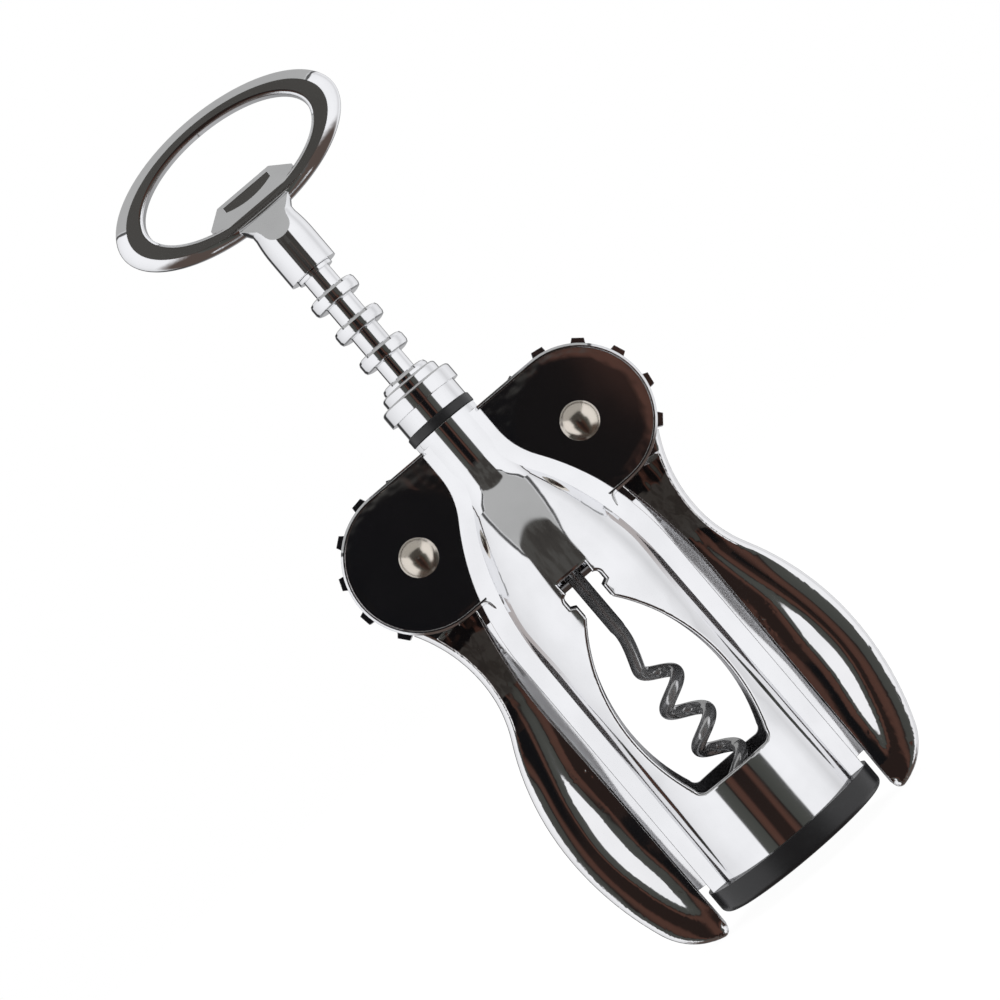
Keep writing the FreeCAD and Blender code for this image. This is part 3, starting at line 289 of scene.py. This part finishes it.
# %% The five metals
CHROME = (0.88, 0.885, 0.90)
chrome = metal("polished_chrome", CHROME, 0.035, wave=0.03, wave_size=16)
body_chrome = metal("cast_body_chrome", CHROME, 0.035, wave=0.03, wave_size=16, casting=body_casting)
wing_chrome = metal("cast_wing_chrome", (0.86, 0.86, 0.87), 0.04, wave=0.02, wave_size=4, streak=6.0,
                    casting=wing_casting)
nickel = metal("satin_nickel", (0.74, 0.68, 0.60), 0.17, wave=0.01, wave_size=3, haze=0.10)
steel = metal("dark_steel", (0.62, 0.62, 0.625), 0.09, wave=0.05, wave_size=2, metallic=0.76)
print("Metals:", ", ".join(made.name for made in (chrome, body_chrome, wing_chrome, nickel, steel)))

# %% [markdown]
# The ring under the bell and the washer on the neck are moulded in black plastic. It isn't fully
# black: it has a satin skin that shows the light on its edges, with a fine grain from the mould and
# a few paler rubbed places here and there.

# %% The black plastic
def plastic(name, colour, roughness):
    material, net = new_finish(name)
    surface = net.node("ShaderNodeBsdfPrincipled")
    output = net.node("ShaderNodeOutputMaterial")
    patches = net.noise(net.place(), 160, 3.0)
    rubbed = net.step(net.noise(net.place((1, 1, 3)), 260, 4.0, 0.6), 0.55, 0.8)
    tint = net.mix(net.math("MULTIPLY", rubbed, 0.5), (*colour, 1), (*[c * 2.2 for c in colour], 1))
    net.wire(tint, surface.inputs["Base Color"])
    net.wire(net.math("MULTIPLY_ADD", patches, 0.16, roughness), surface.inputs["Roughness"])
    rounded = net.node("ShaderNodeBevel", samples=4)
    rounded.inputs["Radius"].default_value = 0.2 * MM
    grain = net.noise(net.place(), 3000, 2.0)
    net.wire(net.bump(grain, 0.008 * MM, rounded.outputs[0]), surface.inputs["Normal"])
    net.wire(surface.outputs[0], output.inputs["Surface"])
    return material


black_plastic = plastic("satin_black_plastic", (0.012, 0.012, 0.013), 0.27)

# %% [markdown]
# Each piece of the model has an empty slot for its finish. A finish goes in by name, and the print
# shows at a glance that no piece was forgotten.

# %% Put the finishes on the pieces
FINISHES = {
    "bell_body": body_chrome,
    "neck_cap": chrome,
    "rack": chrome,
    "handle": chrome,
    "left_wing": wing_chrome,
    "right_wing": wing_chrome,
    "left_rivet": nickel,
    "right_rivet": nickel,
    "worm": steel,
    "base_ring": black_plastic,
    "neck_washer": black_plastic,
}

for name, finish in FINISHES.items():
    for holder in nodes[name].material_slots:
        holder.material = finish
print("Without a finish:", sorted(set(nodes) - set(FINISHES)))

# %% [markdown]
# The wings' faces aren't flat. Each one swells in from its rounded outer edge to a long crest, and
# then sinks into a shallow hollow for the thumb, which is what gives polished wings their flame-like
# reflections. A solid with such a face is hard to cut, so the solid has a plain groove, and its
# dressed copy gets the real swell here. A mirror shows slopes and not heights, so the face is drawn
# as a profile of slopes, in degrees, and adding them up gives the heights. The profile is read across
# the blade: first from the outer edge to the crest, and then from the crest to the inner edge. The
# first number of each row below is a height on the wing, or a share of the way to the crest.

# %% The profile of a wing's face
CREST = ((3, 25.8), (7, 27.7), (12, 29.4), (17, 30.6), (22, 31.5), (28, 31.8), (36, 31.0), (43, 29.6),
         (50, 27.8), (57, 26.3), (65, 25.4), (84, 25.0))
HOLLOW = ((3, 8.0), (7, 18.5), (14, 22.5), (28, 25.0), (36, 23.0), (44, 18.0), (50, 16.0), (65, 12.0),
          (84, 0.0))
LENS = ((3, 1.2), (7, 1.5), (14, 3.0), (22, 3.5), (30, 3.7), (36, 2.9), (44, 1.8), (84, 1.8))
SWELL = ((3, 0.8), (42, 1.0), (52, 0.35), (84, 0.2))
ROUND = 1.1
OUTSIDE = ((0.0, 13.5), (0.35, 9.0), (0.6, 4.4), (0.68, 3.0), (0.97, 0.8), (1.0, 0.0))
STRIP = 0.1
STRIPS = 180


def read(table, value):
    """A value from a table of pairs, on a smooth line through its rows."""
    value = min(max(value, table[0][0]), table[-1][0])
    index = next(row for row in range(1, len(table)) if value <= table[row][0])
    (x0, y0), (x1, y1) = table[max(index - 2, 0)], table[index - 1]
    (x2, y2), (x3, y3) = table[index], table[min(index + 1, len(table) - 1)]
    width = x2 - x1
    first, last = width * (y2 - y0) / (x2 - x0), width * (y3 - y1) / (x3 - x1)
    part, rise = (value - x1) / width, y2 - y1
    return y1 + part * (first + part * (3 * rise - 2 * first - last + part * (first + last - 2 * rise)))


def face_profile(outer, z):
    """How far a face lies under its crest, at every tenth of a millimetre in from the outer edge."""
    crest = outer - read(CREST, z)
    swell, hollow, lens = read(SWELL, z), read(HOLLOW, z), read(LENS, z)
    inside = ((0, 0), (0.25, 0.25), (0.4, 0.45), (1.3, 0.6), (1.65, 0.73), (2.1, 1.0),
              (lens + 0.8, 1.0), (lens + 1.2, 0.73), (lens + 1.7, 0.42), (lens + 2.9, 0.34),
              (lens + 3.6, 0.1), (lens + 4.9, -0.1))
    heights = [0.0]
    for step in range(STRIPS):
        inward = (step + 0.5) * STRIP
        if inward < crest:
            angle = swell * read(OUTSIDE, (inward - ROUND) / max(crest - ROUND, 0.5))
        else:
            angle = -hollow * read(inside, inward - crest)
        heights.append(heights[-1] + math.tan(math.radians(angle)) * STRIP)
    top = heights[round(crest / STRIP)]
    return [top - height for height in heights]


profiles = {}


def sunk(inward, outer, z):
    """How far one place of a face lies under its crest, in millimetres. Near heights share a profile."""
    key = round(z * 20)
    if key not in profiles:
        profiles[key] = face_profile(outer, z)
    step = min(int(inward / STRIP), STRIPS - 1)
    low, high = profiles[key][step:step + 2]
    return low + (high - low) * min(inward / STRIP - step, 1.0)


print("At 28 mm up, the crest is", round(face_profile(37.0, 28)[0], 2), "mm over the outer edge")

# %% [markdown]
# The copy needs many more points than the solid has. Its groove is filled first, and the triangles of
# the flat face are dissolved into one, so that cuts across all three axes divide it evenly. Then each
# point of a face is moved. A ray tells how deep the plain wing is beside the point, and the point sinks
# from there by the profile. The walls under the face are squeezed by the same amount, and nothing moves
# as far in as the channel. Last, two attributes mark the waist and the inner edge for the finish.

# %% Tools for the dressed wings
CHANNEL = 2.8  # half the width of the channel
GROOVE = (5.5, 58)  # the heights that the groove lies between
GROOVE_INWARD = 4.5  # how far in from the outer edge it starts
FLAT_TOP = 58.5
BLADE_TOP = 78.0
OUTER_ZONE = 3.0  # the width that belongs to the outer edge
THIN = 0.05


def cut_into_strips(shape, axis, start, stop, pitch):
    for step in range(int((stop - start) / pitch) + 1):
        place, way = Vector(), Vector()
        place[axis], way[axis] = (start + step * pitch) * MM, 1
        bmesh.ops.bisect_plane(shape, geom=[*shape.verts, *shape.edges, *shape.faces], plane_co=place,
                               plane_no=way, dist=1e-6)


def reach_of(plain, place, way):
    """Where a ray meets the plain wing, in millimetres."""
    found = plain.ray_cast(Vector(place) * MM, Vector(way))[0]
    return found / MM if found else None


def full_depth(plain, side, z):
    """The outer edge at a height, how upright it is there, and the depth of the face beside it."""
    edges = [reach_of(plain, (side * 60, 0, z + step), (-side, 0, 0)) for step in (0.0, 0.6, -0.6)]
    if edges[0] is None:
        return None
    outer = abs(edges[0].x)
    lean = abs(edges[1].x - edges[2].x) / 1.2 if edges[1] and edges[2] else 1.0
    face = reach_of(plain, (side * (outer - 2.2), -30, z), (0, 1, 0))
    return (outer, 1 / math.hypot(1, lean), abs(face.y)) if face else None


def in_groove(inward, z):
    return inward > GROOVE_INWARD and GROOVE[0] < z < GROOVE[1]


def face_depth(plain, side, place, inward, full):
    """The depth of the plain wing beside a point. The ray goes a little nearer the face's middle."""
    x, y, z = place
    if in_groove(inward, z):
        return full
    beside = x + side * math.copysign(0.03, inward - OUTER_ZONE)
    under = reach_of(plain, (beside, math.copysign(30, y), z), (0, -math.copysign(1, y), 0))
    return abs(under.y) if under else full


def dressed_depth(plain, side, place, found):
    """A point's new depth, and whether it is on the open face. None leaves the point where it is."""
    x, y, z = place
    outer, upright, full = found
    inward, rounded = outer - abs(x), ROUND / upright
    fade = min(1.0, max(0.0, (full - 3.2) / 1.5))
    drop = fade * sunk(max(inward, rounded), outer, z)
    face = face_depth(plain, side, place, inward, full)
    if face < CHANNEL + 2 * THIN:
        return None
    share = min(1.0, (abs(y) - CHANNEL) / (face - CHANNEL))
    wall = full - ROUND
    if inward < OUTER_ZONE and abs(y) > wall:
        share, face = 1.0, abs(y)
    elif inward < OUTER_ZONE:
        share, face = (abs(y) - CHANNEL) / max(wall - CHANNEL, THIN), wall
    depth = CHANNEL + share * max(face - drop - CHANNEL, THIN)
    return depth, inward > rounded + 0.2 and share > 0.98


# %% [markdown]
# Each wing is now dressed in four steps, with one short function for each. The triangles that came
# from the groove are dissolved only in the blade, because further up the face is curved already. A
# normal that is shared over a sharp edge would smear its reflection, so edges over 30 degrees stay
# sharp. The dressed copy then rides on the same body as the plain wing, and stands in for it.

# %% The dressed wings
def fill_groove(shape, plain, side):
    """Brings the bottom of the groove out to the face around it."""
    for point in shape.verts:
        x, y, z = point.co / MM
        found = full_depth(plain, side, z) if abs(y) > CHANNEL + THIN else None
        if found and in_groove(found[0] - abs(x), z):
            point.co.y = math.copysign(found[2], y) * MM


def cut_up(shape, side):
    """The flat face becomes one polygon, and then planes across X, Z and Y cut the wing up."""
    low = [point for point in shape.verts if point.co.z < FLAT_TOP * MM]
    edges = [edge for edge in shape.edges if all(point.co.z < FLAT_TOP * MM for point in edge.verts)]
    bmesh.ops.dissolve_limit(shape, angle_limit=math.radians(0.2), edges=edges, verts=low)
    cut_into_strips(shape, 0, *sorted((side * 19.6, side * 37.6)), 0.5)
    cut_into_strips(shape, 2, -2.0, BLADE_TOP, 1.25)
    cut_into_strips(shape, 1, -5.4, 5.4, 1.2)


def swell_faces(shape, plain, side):
    """Moves the points of both faces, marks the waist, and gives how far each point went."""
    waist = shape.verts.layers.float.new("waist")
    moves = []
    for point in shape.verts:
        x, y, z = point.co / MM
        found = full_depth(plain, side, z) if abs(y) > CHANNEL + THIN and z < BLADE_TOP + 1 else None
        dressed = dressed_depth(plain, side, (x, y, z), found) if found else None
        if dressed:
            depth, on_face = dressed
            point.co.y = math.copysign(depth, y) * MM
            point[waist] = min(1.0, max(0.0, (z - 54) / 12)) if on_face else 0.0
            moves.append(abs(depth - abs(y)))
    return moves


def mark_edges(shape, side):
    """Marks the inner edge for the finish, and keeps only the edges over 30 degrees sharp."""
    inner_edge = shape.faces.layers.float.new("inner_edge")
    for face in shape.faces:
        face.smooth = True
        looks_in = face.normal.x * side < -0.7 and face.calc_center_median().z < BLADE_TOP * MM
        face[inner_edge] = 1.0 if looks_in else 0.0
    for edge in shape.edges:
        edge.smooth = len(edge.link_faces) == 2 and edge.calc_face_angle(0) < math.radians(30)


def new_object(name, shape, finish):
    """A bmesh becomes an object at the origin, with one finish."""
    mesh = bpy.data.meshes.new(name)
    shape.to_mesh(mesh)
    shape.free()
    mesh.materials.append(finish)
    made = bpy.data.objects.new(name, mesh)
    bpy.context.collection.objects.link(made)
    return made


for name, side in (("left_wing", -1), ("right_wing", 1)):
    shape = bmesh.new()
    shape.from_mesh(nodes[name].data)
    bmesh.ops.remove_doubles(shape, verts=shape.verts, dist=1e-6)
    plain = BVHTree.FromBMesh(shape)
    fill_groove(shape, plain, side)
    cut_up(shape, side)
    moves = swell_faces(shape, plain, side)
    mark_edges(shape, side)
    wing = new_object(name + "_dressed", shape, wing_chrome)
    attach(wing, name)
    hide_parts(name)
    print(name, "has", len(wing.data.polygons), "faces, and", len(moves), "of its", len(wing.data.vertices),
          "points moved, the farthest by", round(max(moves), 2), "mm")

# %% [markdown]
# The rim of each cheek runs on past the cheek and ends in a small bead that hooks down the body's
# side. A bead is a ring of points that is extruded from one place on its path to the next, turned and
# narrowed a little each time. The path is drawn from in front, and a ray finds how deep the body's
# surface is at each place, so the bead lies on it. The operator leaves each old disc behind, inside
# the bead, where it can't be seen. Mirroring the bead twice gives the other three.

# %% The beads under the cheeks
BEAD = ((17.6, 78.35, 0.34), (16.9, 78.3, 0.36), (16.4, 78.05, 0.36), (16.15, 77.5, 0.34), (16.0, 76.9, 0.30),
        (15.85, 76.3, 0.22), (15.75, 75.9, 0.08))


def surface_place(skin, x, z):
    """The point of the body's front at x and z, in metres."""
    return skin.ray_cast(Vector((x * MM, -0.1, z * MM)), Vector((0, 1, 0)))[0]


def bead_frame(places, index):
    before, after = places[max(index - 1, 0)], places[min(index + 1, len(places) - 1)]
    turn = (after - before).to_track_quat("Z", "Y").to_matrix().to_4x4()
    return Matrix.Translation(places[index]) @ turn


body_shape = bmesh.new()
body_shape.from_mesh(nodes["bell_body"].data)
skin = BVHTree.FromBMesh(body_shape)
body_shape.free()
places = [surface_place(skin, x, z) for x, z, radius in BEAD]
frames = [bead_frame(places, index) for index in range(len(BEAD))]
shape = bmesh.new()
bmesh.ops.create_circle(shape, cap_ends=True, segments=12, radius=BEAD[0][2] * MM, matrix=frames[0])
end = next(iter(shape.faces))
for index in range(1, len(BEAD)):
    grown = bmesh.ops.extrude_face_region(shape, geom=[end])["geom"]
    end = next(part for part in grown if isinstance(part, bmesh.types.BMFace))
    narrow = Matrix.Scale(BEAD[index][2] / BEAD[index - 1][2], 4)
    step = frames[index] @ narrow @ frames[index - 1].inverted()
    bmesh.ops.transform(shape, matrix=step, verts=end.verts)
for axis in "XY":
    bmesh.ops.mirror(shape, geom=[*shape.verts, *shape.edges, *shape.faces], axis=axis, merge_dist=0)
bmesh.ops.recalc_face_normals(shape, faces=shape.faces)
for face in shape.faces:
    face.smooth = len(face.verts) == 4
beads = new_object("cheek_beads", shape, chrome)
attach(beads, "frame")
print("The beads lie", [round(-place.y / MM, 2) for place in places], "mm in front of the middle")

# %% [markdown]
# Chrome has no colour of its own: it shows the room. The room here is a plain soft studio, written
# as the world's colour by direction. Most of it is white, like a light tent. Straight in front there
# is a dark opening with warm brown edges, which draws the dark stripe down the middle of every round
# piece and darkens the flat faces. Overhead hangs a pale grey ceiling, and the ground in front is
# dark brown. The background is plain white, so a ray from the camera that hits nothing sees white.

# %% The studio as a world
OPENING_HALF_WIDTH, OPENING_WIDEST = 0.62, 0.80
CEILING_UP = (0.30, 0.36)

world = bpy.data.worlds.new("studio")
bpy.context.scene.world = world
world.use_nodes = True
sky = Network(world.node_tree)
facing = sky.node("ShaderNodeSeparateXYZ")
sky.wire(sky.node("ShaderNodeTexCoord").outputs["Generated"], facing.inputs[0])
right, back, up = facing.outputs
ahead = sky.math("MAXIMUM", sky.math("MULTIPLY", back, -1.0), 0.001)
sideways = sky.math("DIVIDE", right, ahead)
upwards = sky.math("DIVIDE", up, ahead)
ripple = sky.noise(sky.node("ShaderNodeTexCoord").outputs["Generated"], 5.0, 3.0)
wobble = sky.math("MULTIPLY", ripple, 0.16)

# The opening widens downwards quickly and upwards slowly, and what is in it widens too.
low = sky.math("MAXIMUM", sky.math("SUBTRACT", 0.04, upwards), 0.0)
half_width = sky.math("MINIMUM", sky.math("MULTIPLY_ADD", low, 1.2, OPENING_HALF_WIDTH), OPENING_WIDEST)
high = sky.math("MAXIMUM", sky.math("SUBTRACT", upwards, 0.10), 0.0)
half_width = sky.math("MULTIPLY_ADD", high, 0.16, half_width)
spread = sky.math("DIVIDE", sky.math("ABSOLUTE", sky.math("ADD", sideways, 0.06)), half_width)
wavy = sky.math("ABSOLUTE", sky.math("DIVIDE", sky.math("ADD", sideways, wobble), half_width))
wavy = sky.math("ABSOLUTE", sky.math("SUBTRACT", wavy, 0.02))
low_colours = sky.ramp(wavy, [
    (0.0, (0.006, 0.006, 0.007)),
    (0.15, (0.008, 0.007, 0.007)),
    (0.23, (0.078, 0.038, 0.029)),
    (0.30, (0.088, 0.043, 0.032)),
    (0.37, (0.060, 0.033, 0.026)),
    (0.41, (0.012, 0.010, 0.010)),
    (0.45, (0.060, 0.062, 0.056)),
    (0.80, (0.075, 0.077, 0.070)),
    (1.0, (0.10, 0.10, 0.10)),
])
high_colours = sky.ramp(ripple, [
    (0.0, (0.028, 0.026, 0.025)),
    (0.45, (0.050, 0.046, 0.042)),
    (0.55, (0.070, 0.067, 0.062)),
    (1.0, (0.085, 0.082, 0.078)),
])
low_colours = sky.mix(sky.step(upwards, -0.05, -0.09), low_colours, (0.022, 0.014, 0.012, 1), "LIGHTEN")
opening_colours = sky.mix(sky.step(upwards, 0.10, 0.16), low_colours, high_colours)
opening_sides = sky.math("SUBTRACT", 1.0, sky.step(spread, 0.95, 1.05))
opening_top = sky.math("SUBTRACT", 1.0, sky.step(upwards, 0.82, 0.89))
opening = sky.math("MULTIPLY", opening_sides, opening_top)

over = sky.math("MAXIMUM", up, 0.001)
across = sky.math("ABSOLUTE", sky.math("DIVIDE", right, over))
overhead = sky.step(up, *CEILING_UP)
ceiling = sky.math("SUBTRACT", 1.0, sky.step(across, 0.98, 1.04))
ceiling = sky.math("MULTIPLY", ceiling, overhead)
gap = sky.math("SUBTRACT", 1.0, sky.step(across, 1.12, 1.18))
gap = sky.math("MULTIPLY", sky.math("MULTIPLY", sky.step(across, 1.0, 1.06), gap), overhead)

# The tent by compass bearing: a half turn left is 0, the front is 0.5 and a half turn right is 1.
bearing = sky.math("ARCTAN2", right, sky.math("MULTIPLY", back, -1.0))
bearing = sky.math("MULTIPLY_ADD", bearing, 0.5 / math.pi, 0.5)
around = sky.ramp(bearing, [(place, (grey, grey, grey * 1.015)) for place, grey in (
    (0.0, 0.45), (0.05, 0.20), (0.08, 0.04), (0.12, 0.04), (0.14, 0.75), (0.20, 0.85), (0.28, 0.95),
    (0.34, 1.0), (0.66, 1.0), (0.72, 0.95), (0.77, 0.75), (0.83, 0.92), (0.91, 0.80), (0.935, 0.12),
    (1.0, 0.45))])
room = sky.mix(ceiling, around, (0.46, 0.46, 0.455, 1))
room = sky.mix(gap, room, (0.09, 0.09, 0.09, 1))
ground = sky.step(sky.math("MULTIPLY", up, -1.0), 0.62, 0.80)
room = sky.mix(ground, room, (0.10, 0.075, 0.065, 1))
room = sky.mix(opening, room, opening_colours)

path = sky.node("ShaderNodeLightPath")
seen = sky.math("MAXIMUM", path.outputs["Is Camera Ray"], path.outputs["Is Transmission Ray"])
mirrored = path.outputs["Is Glossy Ray"]
plain = sky.node("ShaderNodeBackground")
plain.inputs["Color"].default_value = (0.92, 0.93, 0.95, 1)
plain.inputs["Strength"].default_value = 0.75
tent = sky.node("ShaderNodeBackground")
sky.wire(room, tent.inputs["Color"])
white = sky.node("ShaderNodeBackground")
white.inputs["Color"].default_value = (1, 1, 1, 1)
lit = sky.node("ShaderNodeMixShader")
sky.wire(mirrored, lit.inputs[0])
sky.wire(plain.outputs[0], lit.inputs[1])
sky.wire(tent.outputs[0], lit.inputs[2])
shown = sky.node("ShaderNodeMixShader")
sky.wire(seen, shown.inputs[0])
sky.wire(lit.outputs[0], shown.inputs[1])
sky.wire(white.outputs[0], shown.inputs[2])
sky.wire(shown.outputs[0], sky.node("ShaderNodeOutputWorld").inputs["Surface"])

# %% [markdown]
# The floor is a plain pale sheet just under the wings' tips. It is a bmesh grid, large enough that
# its edge never shows. Seen by the camera it is almost white, and a part of its shade is left in, so
# the corkscrew still casts a soft shadow. The chrome doesn't mirror it, because the studio above is
# already drawn for the reflections.

# %% The floor
FLOOR_WHITE = 1.04
FLOOR_WHITE_SHARE = 0.93

floor_finish, net = new_finish("pale_floor")
paper = net.node("ShaderNodeBsdfDiffuse")
paper.inputs["Color"].default_value = (0.90, 0.90, 0.90, 1)
glow = net.node("ShaderNodeEmission")
glow.inputs["Strength"].default_value = FLOOR_WHITE
share = net.math("MULTIPLY", net.node("ShaderNodeLightPath").outputs["Is Camera Ray"], FLOOR_WHITE_SHARE)
both = net.node("ShaderNodeMixShader")
net.wire(share, both.inputs[0])
net.wire(paper.outputs[0], both.inputs[1])
net.wire(glow.outputs[0], both.inputs[2])
net.wire(both.outputs[0], net.node("ShaderNodeOutputMaterial").inputs["Surface"])

shape = bmesh.new()
bmesh.ops.create_grid(shape, x_segments=1, y_segments=1, size=6.0)
bmesh.ops.translate(shape, verts=shape.verts, vec=(0, 0, cad_box[0][2] - 0.2 * MM))
floor = new_object("floor", shape, floor_finish)
floor.visible_glossy = False
print("The floor is", round(-1000 * (cad_box[0][2] - 0.2 * MM), 1), "mm under the foot of the bell")

# %% [markdown]
# Two large lamps on the left and right and one overhead give the satin plastic its soft highlights.
# They are wide for their distance, so their shadows have no hard edge.

# %% The lamps
def softbox(name, place, size, power):
    """A square area lamp that points at the middle of the corkscrew."""
    lamp = bpy.data.lights.new(name, "AREA")
    lamp.shape = "SQUARE"
    lamp.size = size
    lamp.energy = power
    made = bpy.data.objects.new(name, lamp)
    aim = Vector((0, 0, 0.09)) - Vector(place)
    made.matrix_world = Matrix.Translation(place) @ aim.to_track_quat("-Z", "Y").to_matrix().to_4x4()
    bpy.context.collection.objects.link(made)
    made.visible_camera = False
    made.visible_glossy = False
    return made


softboxes = [softbox("left_softbox", (-1.1, -0.5, 0.5), 0.8, 3.0),
             softbox("right_softbox", (1.1, -0.5, 0.5), 0.8, 3.0),
             softbox("top_softbox", (0, 0.1, 1.3), 1.0, 4.0)]
print("Lamps:", ", ".join(f"{lamp.name} {lamp.data.energy:.0f} W" for lamp in softboxes))

# %% [markdown]
# The corkscrew is seen from straight in front, from a good half metre away, and turned in the
# picture so that its handle points to the upper left. A long lens gives that flat product view. The
# turn is made by rolling the camera, so the model itself stays upright.

# %% The camera
CAMERA_PLACE = Vector((0.0, -0.595, 0.074))
CAMERA_AIM = Vector((-0.0013, 0.0, 0.092))
CAMERA_ROLL = math.radians(40.4)
camera_data = bpy.data.cameras.new("camera")
camera_data.lens = 107.1
camera_data.sensor_width = 36.0
camera = bpy.data.objects.new("camera", camera_data)
bpy.context.collection.objects.link(camera)
aim = (CAMERA_AIM - CAMERA_PLACE).to_track_quat("-Z", "Y").to_matrix().to_4x4()
camera.matrix_world = Matrix.Translation(CAMERA_PLACE) @ aim @ Matrix.Rotation(-CAMERA_ROLL, 4, "Z")
bpy.context.scene.camera = camera
bpy.context.scene.view_settings.view_transform = "Standard"
print("The camera is", round((CAMERA_AIM - CAMERA_PLACE).length, 3), "m from what it looks at")

# %% [markdown]
# The last cell writes down how large the model was when it came in.

# %% Write down the model's size
print("Model box:", [round(1000 * (b - a), 2) for a, b in zip(*cad_box)], "mm")
